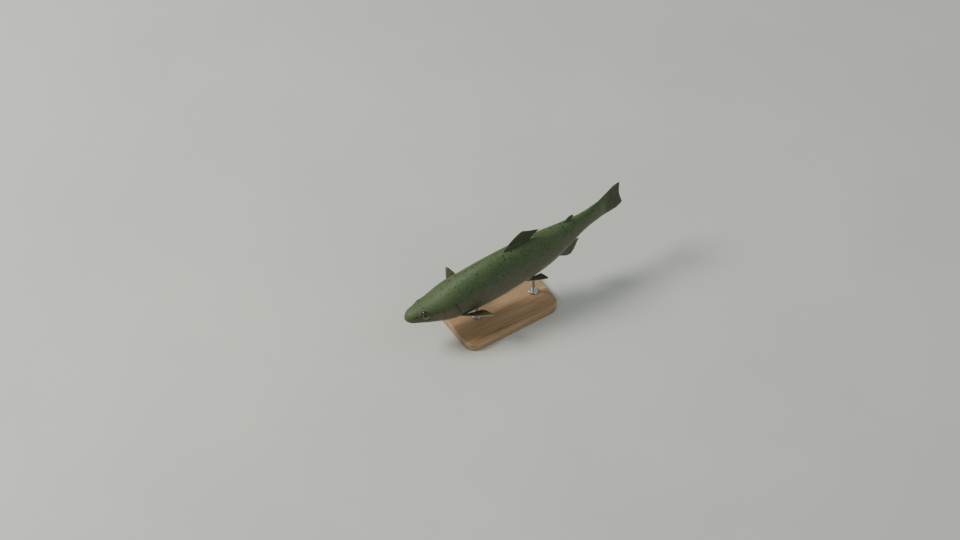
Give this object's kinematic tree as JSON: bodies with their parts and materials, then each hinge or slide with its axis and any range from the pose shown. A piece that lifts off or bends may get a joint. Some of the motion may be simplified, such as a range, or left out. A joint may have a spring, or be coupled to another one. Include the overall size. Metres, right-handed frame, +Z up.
{
  "type": "rainbow trout",
  "caption": "Life-size still model of a rainbow trout swimming slightly nose down in a gentle bend, fins spread, held by short steel rods on a flat wooden base.",
  "frame": {"origin": "centre of the underside of the stand's base, on the floor", "axes": "+Z up, -X towards the trout's head, -Y towards its left flank"},
  "size_m": [0.3541, 0.107, 0.1452],
  "materials": {
    "skin": "smooth, wet sheen",
    "fin": "thin, satin, rayed",
    "eye": "polished",
    "wood": "satin oiled",
    "steel": "brushed"
  },
  "bodies": {
    "root": {"head": "skin", "lower_jaw": "skin", "upper_jaw_left": "skin", "upper_jaw_right": "skin", "gill_cover_left": "skin", "gill_cover_right": "skin", "trunk_front": "skin", "trunk_rear": "skin", "tail_stalk": "skin", "eye_left": "eye", "eye_right": "eye", "dorsal_fin": "fin", "adipose_fin": "fin", "anal_fin": "fin", "caudal_fin": "fin", "pectoral_fin_left": "fin", "pectoral_fin_right": "fin", "pelvic_fin_left": "fin", "pelvic_fin_right": "fin", "stand_base": "wood", "stand_collar_front": "steel", "stand_collar_rear": "steel", "stand_rod_front": "steel", "stand_rod_rear": "steel"}
  },
  "joints": []
}
